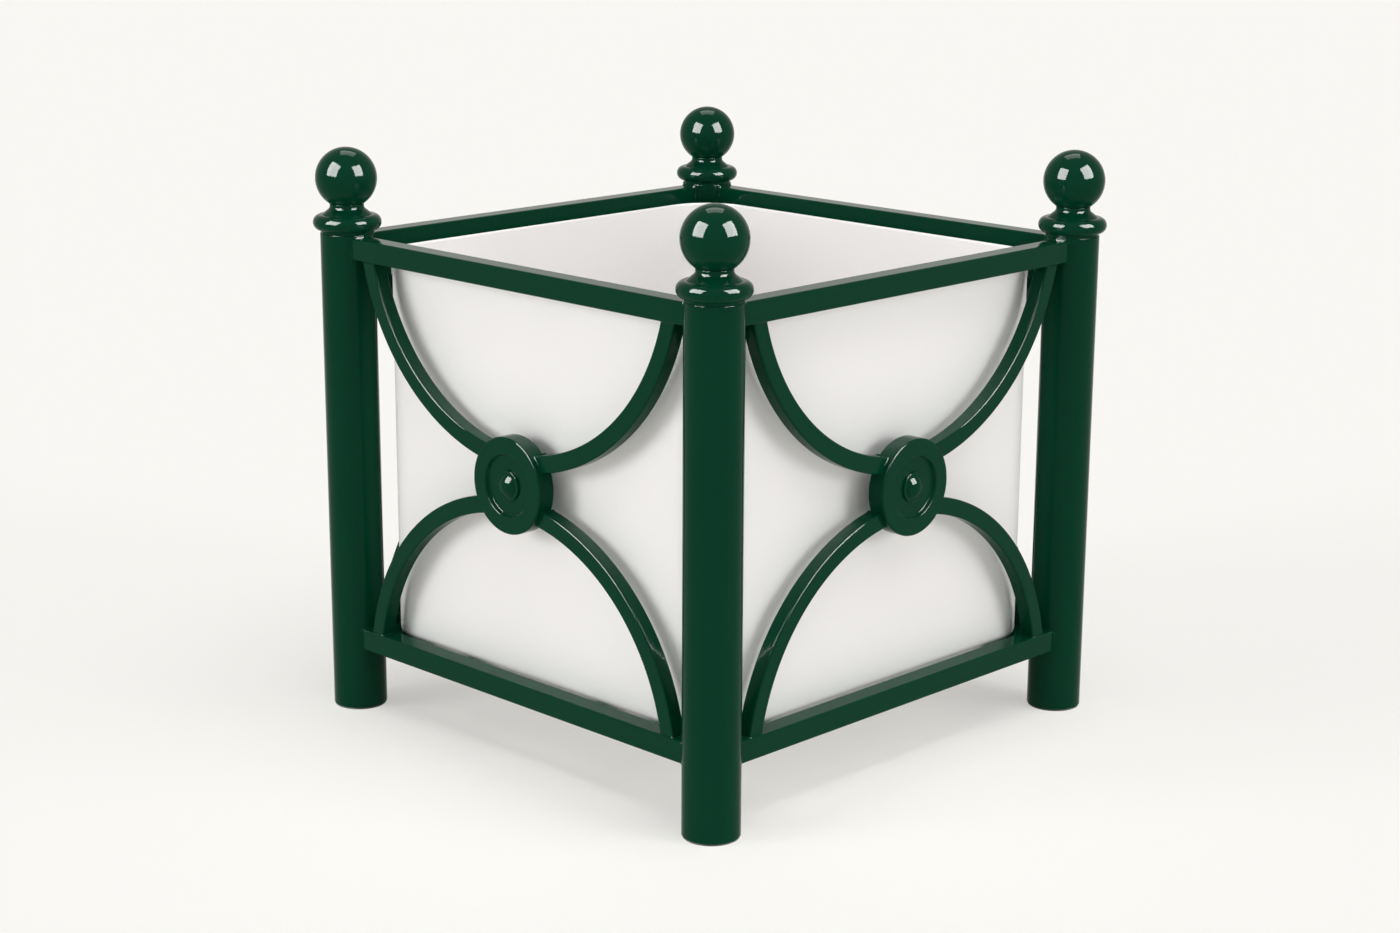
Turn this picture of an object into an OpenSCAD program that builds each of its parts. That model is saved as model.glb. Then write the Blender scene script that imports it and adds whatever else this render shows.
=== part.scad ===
// Square garden planter: a welded and painted tube frame with a ball finial
// on each post and a curved cross on each side, round a lift-out white liner.
// Millimetres, +Z up. The origin is on the floor, midway between the posts.
// The front side faces -Y. Left and right of a side are as seen from outside.

/* [Posts] */
// Distance between the axes of neighbouring posts
post_spacing = 600; // [480:10:900]
// Outside diameter of the post tube
post_d = 64; // [54:1:76]
// Wall of the post tube
post_wall = 2; // [1.5:0.5:4]
// Height of the post's top end above the floor
post_top = 580; // [480:5:900]

/* [Rails] */
// Side of the square rail tube
rail_size = 25; // [20:1:30]
// Wall of the rail tube
rail_wall = 2; // [1.5:0.5:3]
// Radius on the long edges of the rail tube
rail_edge_r = 1.6; // [0.8:0.1:3]
// How far the rail's centre line stands outside the line of post axes
rail_out = 4; // [1:0.5:6]
// From the post's top end down to the top of the top rail
top_rail_drop = 3; // [1:1:30]
// Height of the underside of the bottom rail above the floor
bottom_rail_z = 77; // [40:1:150]

/* [Feet] */
// Thickness of the foot plug's flange under the post
foot_flange_t = 2; // [1.5:0.5:6]
// How far the flange's edge stays inside the post's outside
foot_flange_inset = 1; // [0.5:0.5:3]
// Height of the plug inside the post
foot_plug_h = 16; // [8:1:30]
// Wall of the plug inside the post
foot_plug_wall = 3; // [2:0.5:5]

/* [Finials] */
// Diameter of the ball
ball_d = 72; // [60:1:90]
// Diameter of the neck under the ball
neck_d = 40; // [30:1:46]
// Height of the straight part of the neck
neck_land = 2.5; // [2:0.5:8]
// Outside diameter of the collar's rolled ring
collar_d = 80; // [76:1:96]
// Thickness of the collar's rolled ring
collar_ring_t = 18.5; // [14:0.5:22]
// Height of the straight land between post and ring
collar_land = 3; // [1:0.5:5]
// How far the land stays inside the post's outside
collar_land_inset = 1; // [0.5:0.25:1.5]
// From the ring's centre up to the lower end of the neck's straight part
cove_rise = 19; // [16:0.5:21]
// Radius between the neck's straight part and the flare under it
cove_r = 5; // [2:0.5:6]
// Fall of the flare from the cove to the ring, in degrees below level
flare_fall = 38; // [34:1:44]
// Length of the collar's spigot inside the post
spigot_h = 24; // [12:1:50]
// Diameter of the stud that joins ball and collar
stud_d = 10; // [6:1:16]
// Depth of the stud's hole in the ball and in the collar
stud_hole_h = 18; // [12:1:24]

/* [Side panels] */
// Width of the curved arm's front face
arm_w = 20; // [14:1:24]
// Depth of the curved arm from front to back
arm_depth = 18; // [12:1:22]
// Chamfer on the long edges of the curved arm
arm_chamfer = 1; // [0.5:0.1:2.5]
// How far the arm's face lies behind the rail's face
arm_recess = 2.5; // [0.5:0.5:4]
// Gap on the rail between the arm's outer edge and the post
arm_post_gap = 12; // [6:1:30]
// Gap at the middle between the boss's centre and either arc
arc_boss_gap = 17; // [6:1:24]
// Diameter of the boss
boss_d = 111; // [90:1:140]
// Thickness of the boss from front to back
boss_t = 22; // [18:0.5:26]
// How far the boss stands proud of the arms' faces
boss_proud = 7.5; // [4:0.5:14]
// How far the boss's centre lies above the middle of the opening
boss_lift = 6; // [-20:1:20]
// Radius on the boss's edges
boss_edge_r = 1.5; // [0.5:0.1:3]
// Width of the flat ring on the boss's face
boss_ring_w = 19.5; // [12:0.5:22]
// Depth of the recess inside the flat ring
boss_recess = 4.5; // [2:0.5:8]
// Diameter of the dome's flange in the recess
dome_d = 35; // [24:1:44]
// Thickness of the dome's flange
dome_flange_t = 3; // [2:0.5:5]
// Radius on the upper edge of the dome's flange
dome_edge_r = 1.3; // [0.5:0.1:2]
// Diameter of the round cap on the flange
dome_cap_d = 28; // [20:1:32]
// Height of the round cap above the flange
dome_cap_h = 7; // [4:0.5:10]
// Diameter of the dome's shank through the boss
dome_shank_d = 8; // [5:0.5:12]

/* [Liner] */
// Gap between the liner's wall and the rails
liner_gap = 10; // [3:0.5:12]
// Gap between the liner's corner and the post
liner_post_gap = 19.5; // [8:0.5:22]
// Wall of the liner
liner_wall = 4; // [3:0.5:8]
// Thickness of the liner's floor
liner_floor_t = 5; // [4:0.5:10]
// Radius round the outside of the liner's bottom edge
liner_edge_r = 10; // [8:1:20]
// How far the liner's underside lies below the top of the bottom rails
liner_sink = 10; // [4:1:14]
// How far the liner's rim stands above the underside of the top rail
liner_rim_rise = 8; // [0:1:40]
// Diameter of a drain hole
drain_d = 20; // [10:1:40]
// Distance of the outer drain holes from the middle, along X and along Y
drain_offset = 160; // [60:5:180]

/* [Liner supports] */
// Distance between the centre lines of the two cross bars
cross_bar_pitch = 220; // [80:5:260]
// Width of a cross bar's tube
cross_bar_w = 30; // [20:1:50]
// Length of a corner rest along each rail
rest_leg = 120; // [90:5:160]
// Thickness of a corner rest
rest_t = 5; // [3:0.5:8]
// Width of a top corner lug
lug_w = 20; // [12:1:26]
// Height of a top corner lug
lug_h = 22; // [12:1:40]
// Play between a lug and the liner's corner
lug_play = 0.8; // [0.3:0.1:2]

/* [Hidden] */

// Each corner and each side with its turn about +Z from the first one
CORNERS = [["front_right", 0], ["back_right", 90], ["back_left", 180], ["front_left", 270]];
SIDES = [["front", 0], ["right", 90], ["back", 180], ["left", 270]];
// Each arm of a side: 1 for upward or -1 for downward from the boss, and the
// turn of its quarter of a ring
ARMS = [
    ["upper_left", 1, 90], ["upper_right", 1, 0],
    ["lower_left", -1, 180], ["lower_right", -1, 270],
];
BARS = [["right", 0], ["left", 180]];

paint = [0.03, 0.22, 0.15];
liner_white = [0.92, 0.92, 0.91];
plug_black = [0.06, 0.06, 0.06];
bright_steel = [0.7, 0.7, 0.72];

// Clearance of a turned part that is pushed into a bore or a tube
push_fit = 0.15;
// Overshoot of a cutting shape past the faces that it cuts
over = 1;
diagonal = sqrt(2);

half = post_spacing / 2;
post_r = post_d / 2;
post_bore_r = post_r - post_wall;

top_rail_top = post_top - top_rail_drop;
top_rail_under = top_rail_top - rail_size;
bottom_rail_top = bottom_rail_z + rail_size;
rail_line = half + rail_out;
rail_face = rail_line + rail_size / 2;
rail_inner = rail_line - rail_size / 2;

ball_r = ball_d / 2;
neck_r = neck_d / 2;
ring_tube_r = collar_ring_t / 2;
ring_line_r = collar_d / 2 - ring_tube_r;
ring_z = post_top + collar_land + ring_tube_r;
cove_z = ring_z + cove_rise;
cove_line_r = neck_r + cove_r;
// Where the cove runs into the flare
flare_r = cove_line_r - cove_r * sin(flare_fall);
flare_z = cove_z - cove_r * cos(flare_fall);
neck_top = cove_z + neck_land;
ball_z = neck_top + sqrt(ball_r ^ 2 - neck_r ^ 2);

arm_face = rail_face - arm_recess;
arm_back = arm_face - arm_depth;
boss_r = boss_d / 2;
boss_face = arm_face + boss_proud;
boss_z = (top_rail_under + bottom_rail_top) / 2 + boss_lift;
arm_end_x = half - post_r - arm_post_gap;
arc_rise_upper = top_rail_under - boss_z - arc_boss_gap;
arc_rise_lower = boss_z - bottom_rail_top - arc_boss_gap;

liner_half = rail_inner - liner_gap;
liner_corner_reach = half * diagonal - post_r - liner_post_gap;
liner_corner_r = (liner_half * diagonal - liner_corner_reach) / (diagonal - 1);
liner_flat = liner_half - liner_corner_r;
liner_bottom = bottom_rail_top - liner_sink;
liner_rim = top_rail_under + liner_rim_rise;

$fn = 96;

// Radius of a circle that is a rise away from its chord of half length reach
function arc_radius(reach, rise) = (reach ^ 2 + rise ^ 2) / (2 * rise);

// Places its child, drawn at the front right corner, at the corner of a turn
module at_turn(turn) rotate([0, 0, turn]) children();

// Places its child, drawn on the Z axis, on the post of a corner
module at_post(turn) at_turn(turn) translate([half, -half, 0]) children();

// Square with round corners, as exact arcs
module round_square(w, h, r) {
    union() {
        translate([r, 0]) square([w - 2 * r, h]);
        translate([0, r]) square([w, h - 2 * r]);
        for (x = [r, w - r], y = [r, h - r]) translate([x, y]) circle(r = r, $fn = 32);
    }
}

// Rectangle with chamfered corners
module chamfered_square(w, h, c) {
    polygon([[c, 0], [w - c, 0], [w, c], [w, h - c], [w - c, h], [c, h], [0, h - c], [0, c]]);
}

// Outlines of the posts of one side, for coping what meets them
module post_cope(low, high) {
    for (x = [-half, half]) {
        translate([x, -half, low]) cylinder(r = post_r, h = high - low);
    }
}

// Tube from the foot flange to the collar
module post() {
    color(paint) translate([0, 0, foot_flange_t]) difference() {
        cylinder(r = post_r, h = post_top - foot_flange_t);
        translate([0, 0, -over]) cylinder(r = post_bore_r, h = post_top - foot_flange_t + 2 * over);
    }
}

// Moulded plug with a thin flange that the planter stands on
module foot_plug() {
    insert_r = post_bore_r - push_fit;
    color(plug_black) difference() {
        union() {
            cylinder(r = post_r - foot_flange_inset, h = foot_flange_t);
            cylinder(r = insert_r, h = foot_flange_t + foot_plug_h);
        }
        translate([0, 0, foot_flange_t + foot_plug_wall]) {
            cylinder(r = insert_r - foot_plug_wall, h = foot_plug_h);
        }
    }
}

// Half section of the collar: spigot, land and rolled ring, then a flare that
// runs through a small cove into the neck under the ball
module collar_section() {
    union() {
        translate([0, post_top - spigot_h]) square([post_bore_r - push_fit, spigot_h + over]);
        translate([0, post_top]) square([post_r - collar_land_inset, collar_land + over]);
        translate([ring_line_r, ring_z]) circle(r = ring_tube_r);
        difference() {
            polygon([
                [0, ring_z - ring_tube_r], [ring_line_r, ring_z - ring_tube_r],
                [ring_line_r, flare_z - (ring_line_r - flare_r) * tan(flare_fall)],
                [flare_r, flare_z], [cove_line_r, cove_z], [0, cove_z],
            ]);
            translate([cove_line_r, cove_z]) circle(r = cove_r);
        }
        translate([0, cove_z - over]) square([neck_r, neck_land + over]);
    }
}

// Turned collar that caps the post and carries the ball
module finial_collar() {
    color(paint) difference() {
        rotate_extrude() collar_section();
        translate([0, 0, neck_top - stud_hole_h]) cylinder(d = stud_d, h = stud_hole_h + over, $fn = 48);
    }
}

// Ball with a flat seat as wide as the neck and a hole for the stud
module finial_ball() {
    color(paint) difference() {
        translate([0, 0, ball_z]) sphere(r = ball_r);
        translate([0, 0, neck_top - ball_d]) cylinder(r = ball_r, h = ball_d);
        translate([0, 0, neck_top - over]) cylinder(d = stud_d, h = stud_hole_h + over, $fn = 48);
    }
}

// Studs that join the balls to the collars
module finial_studs() {
    for (corner = CORNERS) at_post(corner[1]) color(bright_steel) {
        translate([0, 0, neck_top - stud_hole_h]) {
            cylinder(d = stud_d - 2 * push_fit, h = 2 * stud_hole_h, $fn = 48);
        }
    }
}

// Square tube along the front side, coped to its two posts
module rail(low) {
    color(paint) difference() {
        translate([-half, 0, 0]) rotate([90, 0, 90]) linear_extrude(post_spacing) difference() {
            translate([-rail_face, low]) round_square(rail_size, rail_size, rail_edge_r);
            translate([-rail_face + rail_wall, low + rail_wall]) {
                square(rail_size - 2 * rail_wall);
            }
        }
        post_cope(low - over, low + rail_size + over);
    }
}

// Curved bar from a rail of the front side to the boss, as part of a ring.
// Way is 1 for an upper arm and -1 for a lower one.
module arm(way, turn) {
    rise = way > 0 ? arc_rise_upper : arc_rise_lower;
    outer_r = arc_radius(arm_end_x, rise);
    centre_z = boss_z + way * (arc_boss_gap + outer_r);
    rail_edge = boss_z + way * (arc_boss_gap + rise);
    color(paint) difference() {
        translate([0, -arm_face, centre_z]) rotate([-90, 0, 0]) rotate([0, 0, turn]) {
            rotate_extrude(angle = 90, $fn = 192) {
                translate([outer_r - arm_w, 0]) chamfered_square(arm_w, arm_depth, arm_chamfer);
            }
        }
        translate([-half, -rail_face, way > 0 ? rail_edge : rail_edge - 2 * outer_r]) {
            cube([post_spacing, rail_size, 2 * outer_r]);
        }
        translate([0, -arm_back + over, boss_z]) rotate([90, 0, 0]) {
            cylinder(r = boss_r, h = arm_depth + 2 * over);
        }
    }
}

// Half section of the boss: radius along X, depth behind its face along -Y
module boss_section() {
    recess_r = boss_r - boss_ring_w;
    difference() {
        translate([-boss_r, -boss_t]) round_square(boss_d, boss_t, boss_edge_r);
        translate([-boss_d, -boss_d]) square([boss_d, 2 * boss_d]);
        translate([0, -boss_recess]) square([recess_r - boss_recess, boss_recess + over]);
        translate([recess_r - boss_recess, 0]) circle(r = boss_recess, $fn = 64);
        translate([0, -boss_t - over]) square([dome_shank_d / 2, boss_t + 2 * over]);
    }
}

// Round boss at the middle of the front side
module boss() {
    color(paint) translate([0, -boss_face, boss_z]) rotate([90, 0, 0]) {
        rotate_extrude() boss_section();
    }
}

// Half section of the dome: its shank below the recess's floor, its flange and
// its round cap above
module dome_section() {
    flat_r = dome_d / 2 - dome_edge_r;
    cap_r = arc_radius(dome_cap_d / 2, dome_cap_h);
    shank_h = boss_t - boss_recess;
    union() {
        translate([0, -shank_h]) square([dome_shank_d / 2 - push_fit, shank_h + over]);
        square([flat_r, dome_flange_t]);
        square([dome_d / 2, dome_flange_t - dome_edge_r]);
        translate([flat_r, dome_flange_t - dome_edge_r]) circle(r = dome_edge_r, $fn = 32);
        intersection() {
            translate([0, dome_flange_t + dome_cap_h - cap_r]) circle(r = cap_r);
            square([flat_r, dome_flange_t + dome_cap_h + over]);
        }
    }
}

// Dome of the front side with its shank through the boss
module dome_rivet() {
    color(paint) translate([0, boss_recess - boss_face, boss_z]) rotate([90, 0, 0]) {
        rotate_extrude() dome_section();
    }
}

// Domes of all four sides
module dome_rivets() {
    for (side = SIDES) at_turn(side[1]) dome_rivet();
}

// Block between a post and the top of the liner's corner
module corner_lug() {
    reach = liner_corner_reach + lug_play;
    color(paint) rotate([0, 0, -45]) difference() {
        translate([reach, -lug_w / 2, top_rail_under - lug_h]) {
            cube([half * diagonal - reach, lug_w, lug_h]);
        }
        translate([half * diagonal, 0, top_rail_under - lug_h - over]) {
            cylinder(r = post_r, h = lug_h + 2 * over);
        }
    }
}

// Three-cornered plate between the bottom rails under the liner's corner
module corner_rest() {
    color(paint) difference() {
        translate([rail_inner, -rail_inner, liner_bottom - rest_t]) linear_extrude(rest_t) {
            polygon([[0, 0], [0, rest_leg], [-rest_leg, 0]]);
        }
        translate([half, -half, liner_bottom - rest_t - over]) {
            cylinder(r = post_r, h = rest_t + 2 * over);
        }
    }
}

// Flat tube on the right, under the liner, between the front and back bottom rails
module cross_bar() {
    bar_h = liner_bottom - bottom_rail_z;
    color(paint) translate([cross_bar_pitch / 2, rail_inner, bottom_rail_z]) {
        rotate([90, 0, 0]) linear_extrude(2 * rail_inner) difference() {
            translate([-cross_bar_w / 2, 0]) round_square(cross_bar_w, bar_h, rail_edge_r);
            translate([-cross_bar_w / 2 + rail_wall, rail_wall]) {
                square([cross_bar_w - 2 * rail_wall, bar_h - 2 * rail_wall]);
            }
        }
    }
}

// Section of the liner's wall and floor, out from a corner's centre line
module liner_section() {
    wall_in = liner_corner_r - liner_wall;
    bend_at = liner_corner_r - liner_edge_r;
    rim_r = liner_wall / 2;
    union() {
        square([bend_at, liner_floor_t]);
        difference() {
            translate([bend_at, 0]) square(liner_edge_r);
            translate([bend_at, liner_edge_r]) intersection() {
                circle(r = liner_edge_r - liner_wall);
                translate([0, liner_floor_t - liner_edge_r]) square(liner_edge_r);
            }
            translate([bend_at, liner_edge_r]) difference() {
                translate([0, -2 * liner_edge_r]) square(2 * liner_edge_r);
                circle(r = liner_edge_r);
            }
        }
        translate([wall_in, liner_edge_r]) {
            square([liner_wall, liner_rim - liner_bottom - liner_edge_r - rim_r]);
        }
        translate([liner_corner_r - rim_r, liner_rim - liner_bottom - rim_r]) circle(r = rim_r, $fn = 32);
    }
}

// Lift-out box with round corners, a round bottom edge and drain holes
module liner() {
    color(liner_white) translate([0, 0, liner_bottom]) difference() {
        union() {
            for (turn = [0, 90, 180, 270]) rotate([0, 0, turn]) {
                translate([liner_flat, liner_flat, 0]) rotate_extrude(angle = 90) liner_section();
                translate([liner_flat, liner_flat, 0]) {
                    rotate([90, 0, 0]) linear_extrude(2 * liner_flat) liner_section();
                }
            }
            translate([-liner_flat, -liner_flat, 0]) {
                cube([2 * liner_flat, 2 * liner_flat, liner_floor_t]);
            }
        }
        for (at = [[0, 0], for (x = [-1, 1], y = [-1, 1]) [x, y] * drain_offset]) {
            translate([at[0], at[1], -over]) cylinder(d = drain_d, h = liner_floor_t + 2 * over, $fn = 48);
        }
    }
}

for (corner = CORNERS) {
    at_post(corner[1]) post();
    at_post(corner[1]) foot_plug();
    at_post(corner[1]) finial_collar();
    at_post(corner[1]) finial_ball();
    at_turn(corner[1]) corner_lug();
    at_turn(corner[1]) corner_rest();
}
finial_studs();
for (side = SIDES) {
    at_turn(side[1]) rail(top_rail_under);
    at_turn(side[1]) rail(bottom_rail_z);
    at_turn(side[1]) boss();
    for (a = ARMS) {
        at_turn(side[1]) arm(a[1], a[2]);
    }
}
dome_rivets();
for (bar = BARS) {
    at_turn(bar[1]) cross_bar();
}
liner();
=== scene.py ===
"""Looks of a square garden planter.

A frame of painted tube with turned finials, curved side arms and round bosses
stands round a white lift-out liner. Lengths are in metres, +Z up, in the frame
of the CAD model. The front side faces -Y.
"""

import logging
import math
from dataclasses import dataclass, field
from enum import Enum
from typing import Any, Callable, Iterable, Sequence

import bmesh
import bpy
from mathutils import Matrix, Vector


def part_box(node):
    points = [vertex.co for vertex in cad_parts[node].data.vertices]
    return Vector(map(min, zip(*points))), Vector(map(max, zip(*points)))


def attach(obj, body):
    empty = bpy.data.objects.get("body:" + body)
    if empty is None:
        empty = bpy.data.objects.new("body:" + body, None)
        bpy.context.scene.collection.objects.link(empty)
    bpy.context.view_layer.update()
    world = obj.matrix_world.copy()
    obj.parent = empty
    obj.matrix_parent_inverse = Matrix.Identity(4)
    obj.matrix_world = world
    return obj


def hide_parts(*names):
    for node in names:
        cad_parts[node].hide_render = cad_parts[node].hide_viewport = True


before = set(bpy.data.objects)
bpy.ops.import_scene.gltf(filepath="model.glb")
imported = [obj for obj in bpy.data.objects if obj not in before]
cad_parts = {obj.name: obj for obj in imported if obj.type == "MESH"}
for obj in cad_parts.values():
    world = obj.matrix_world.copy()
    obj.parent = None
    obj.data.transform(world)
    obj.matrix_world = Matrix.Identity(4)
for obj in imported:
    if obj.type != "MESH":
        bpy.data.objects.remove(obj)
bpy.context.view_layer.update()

log = logging.getLogger("planter")

FRAME_BODY = "frame"
LINER_BODY = "liner"

# Points nearer than this are one point
MERGE = 1e-6
# Edges that turn more than this stay sharp in the shading
SHARP_ANGLE = math.radians(38)
FULL_TURN = 2 * math.pi
QUARTER_TURN = math.pi / 2
# Strength of a glow that shows its colour as it is
AS_WRITTEN = 1.0
# How finely the section of a weld bead is rounded
BEAD_ROUND = 1
# The two colours that a Mix node takes and the one that it gives, by socket
MIX_FIRST, MIX_SECOND, MIX_RESULT = 6, 7, 2

Point = tuple[float, float]
Place = tuple[float, float, float]
Colour = tuple[float, float, float]
Loop = list[bmesh.types.BMEdge]


class Slot(Enum):
    """Names of the material slots that the finishes carry."""

    PAINT = "green_paint"
    LINER = "white_liner"
    PLUG = "black_plug"
    STUD = "bright_stud"


class Corner(Enum):
    """Corners of the planter, each with its turn in degrees from the front right one."""

    FRONT_RIGHT = 0
    BACK_RIGHT = 90
    BACK_LEFT = 180
    FRONT_LEFT = 270

    @property
    def label(self) -> str:
        """The corner's name in node names."""
        return self.name.lower()


class Side(Enum):
    """Sides of the planter, each with its turn in degrees from the front one."""

    FRONT = 0
    RIGHT = 90
    BACK = 180
    LEFT = 270

    @property
    def label(self) -> str:
        """The side's name in node names."""
        return self.name.lower()


class Level(Enum):
    """The two rings of rails, and which way their arms run from the boss."""

    UPPER = 1
    LOWER = -1


class Hand(Enum):
    """The two halves of a side, as seen from outside."""

    LEFT = -1
    RIGHT = 1


@dataclass
class Outline:
    """A section as (across, up) points, with its round stretches as arcs."""

    points: list[Point] = field(default_factory=list)

    def to(self, across: float, up: float) -> "Outline":
        """Adds one point, and returns the outline."""
        self.points.append((across, up))
        return self

    def arc(self, centre: Point, radius: float, start: float, end: float, steps: int) -> "Outline":
        """Adds the points of an arc.

        Args:
            centre: The arc's centre.
            radius: Its radius.
            start: Direction of its first point from the centre, in degrees.
            end: Direction of its last point, in degrees.
            steps: How many chords it has.

        Returns:
            The outline.
        """
        for step in range(steps + 1):
            angle = math.radians(start + (end - start) * step / steps)
            self.to(centre[0] + radius * math.cos(angle), centre[1] + radius * math.sin(angle))
        return self

    @classmethod
    def rounded(cls, width: float, height: float, radius: float, steps: int) -> "Outline":
        """Draws a rectangle about the origin with round corners.

        Args:
            width: The rectangle's width.
            height: Its height.
            radius: The radius of its corners.
            steps: How many chords each corner has.

        Returns:
            The outline.
        """
        outline = cls()
        across, up = width / 2 - radius, height / 2 - radius
        for start, x, y in ((0, across, up), (90, -across, up), (180, -across, -up), (270, across, -up)):
            outline.arc((x, y), radius, start, start + 90, steps)
        return outline


def corners(edges: Loop) -> list[bmesh.types.BMVert]:
    """The points of a chain of edges, each once and in order."""
    return list(dict.fromkeys(vert for edge in edges for vert in edge.verts))


class Workpiece:
    """A mesh on the bench: it is shaped with bmesh operators and becomes one piece."""

    def __init__(self) -> None:
        """Starts with nothing."""
        self.bm = bmesh.new()

    def wire(self, points: Iterable[Vector], closed: bool = True) -> Loop:
        """Lays a chain of edges.

        Args:
            points: The points that it runs through.
            closed: Whether it runs back to its start.

        Returns:
            The edges in order.
        """
        verts = [self.bm.verts.new(point) for point in points]
        ends = verts[1:] + verts[:1] if closed else verts[1:]
        return [self.bm.edges.new(pair) for pair in zip(verts, ends)]

    def turned(self, outline: Outline, steps: int, closed: bool = False) -> "Workpiece":
        """Spins a (radius, height) outline round the Z axis, as on a lathe.

        Args:
            outline: The half section.
            steps: How many facets go round.
            closed: Whether the outline is a loop off the axis.

        Returns:
            The workpiece.
        """
        edges = self.wire((Vector((r, 0, z)) for r, z in outline.points), closed)
        bmesh.ops.spin(
            self.bm, geom=corners(edges) + edges, cent=(0, 0, 0), axis=(0, 0, 1), angle=FULL_TURN,
            steps=steps, use_merge=True,
        )
        return self.merged()

    def merged(self) -> "Workpiece":
        """Joins doubled points, and returns the workpiece."""
        bmesh.ops.remove_doubles(self.bm, verts=self.bm.verts[:], dist=MERGE)
        return self

    def joined(self, loops: Sequence[Loop]) -> "Workpiece":
        """Bridges each loop of edges to the next one.

        Args:
            loops: The loops in order.

        Returns:
            The workpiece.
        """
        for low, high in zip(loops, loops[1:]):
            bmesh.ops.bridge_loops(self.bm, edges=low + high)
        return self

    def moved(self, matrix: Matrix) -> "Workpiece":
        """Places the whole mesh, and returns the workpiece."""
        bmesh.ops.transform(self.bm, matrix=matrix, verts=self.bm.verts[:])
        return self

    def shaped(self, rule: Callable[[Vector], Vector]) -> "Workpiece":
        """Moves each point by a rule.

        Args:
            rule: Gives a point's new place for its old one.

        Returns:
            The workpiece.
        """
        for vert in self.bm.verts:
            vert.co = rule(vert.co)
        return self

    def added(self, other: "Workpiece") -> "Workpiece":
        """Takes in another workpiece's mesh.

        Args:
            other: The other workpiece, which is used up.

        Returns:
            This workpiece.
        """
        mesh = bpy.data.meshes.new("taken_in")
        other.bm.to_mesh(mesh)
        other.bm.free()
        self.bm.from_mesh(mesh)
        bpy.data.meshes.remove(mesh)
        return self

    def piece(
        self, name: str, finish: "Finish", nodes: Sequence[str] = (), body: str = FRAME_BODY,
        flats: bool = True,
    ) -> bpy.types.Object:
        """Makes the mesh a finished piece of the planter.

        Args:
            name: The piece's name.
            finish: What it is coated with or made of.
            nodes: The CAD nodes that it stands for.
            body: The CAD body that it rides on.
            flats: Whether wide flat faces lead the shading of the edges beside them.

        Returns:
            The new object.
        """
        bmesh.ops.recalc_face_normals(self.bm, faces=self.bm.faces[:])
        for face in self.bm.faces:
            face.smooth = True
        mesh = bpy.data.meshes.new(name)
        self.bm.to_mesh(mesh)
        self.bm.free()
        mesh.set_sharp_from_angle(angle=SHARP_ANGLE)
        mesh.materials.append(finish.material())
        piece = bpy.data.objects.new(name, mesh)
        bpy.context.scene.collection.objects.link(piece)
        if flats:
            shading = piece.modifiers.new("flat faces lead", "WEIGHTED_NORMAL")
            shading.keep_sharp = True
        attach(piece, body)
        if nodes:
            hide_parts(*nodes)
        log.info("%s: %d faces for %s", name, len(mesh.polygons), ", ".join(nodes) or "no node")
        return piece


@dataclass(frozen=True)
class Clouds:
    """A cloudy pattern that is fixed to a piece."""

    # How many clouds there are in a metre
    scale: float
    # How many finer layers the clouds have
    detail: float
    # Where the pattern starts, in metres, so that two patterns differ
    start: Place = (0.0, 0.0, 0.0)


class Value:
    """A number that a shader works out. Python's operators add Math nodes."""

    def __init__(self, shader: "Shader", socket: bpy.types.NodeSocket) -> None:
        """Wraps a socket of a shader."""
        self.shader = shader
        self.socket = socket

    def _math(self, operation: str, first: Any, second: Any) -> "Value":
        """Adds one Math node, and returns its value."""
        out = self.shader.node("ShaderNodeMath", {"operation": operation}, {0: first, 1: second})
        return Value(self.shader, out[0])

    def __add__(self, other: Any) -> "Value":
        """This value plus another."""
        return self._math("ADD", self, other)

    __radd__ = __add__

    def __mul__(self, other: Any) -> "Value":
        """This value times another."""
        return self._math("MULTIPLY", self, other)

    __rmul__ = __mul__

    def __or__(self, other: Any) -> "Value":
        """The greater of this value and another."""
        return self._math("MAXIMUM", self, other)

    __ror__ = __or__


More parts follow.
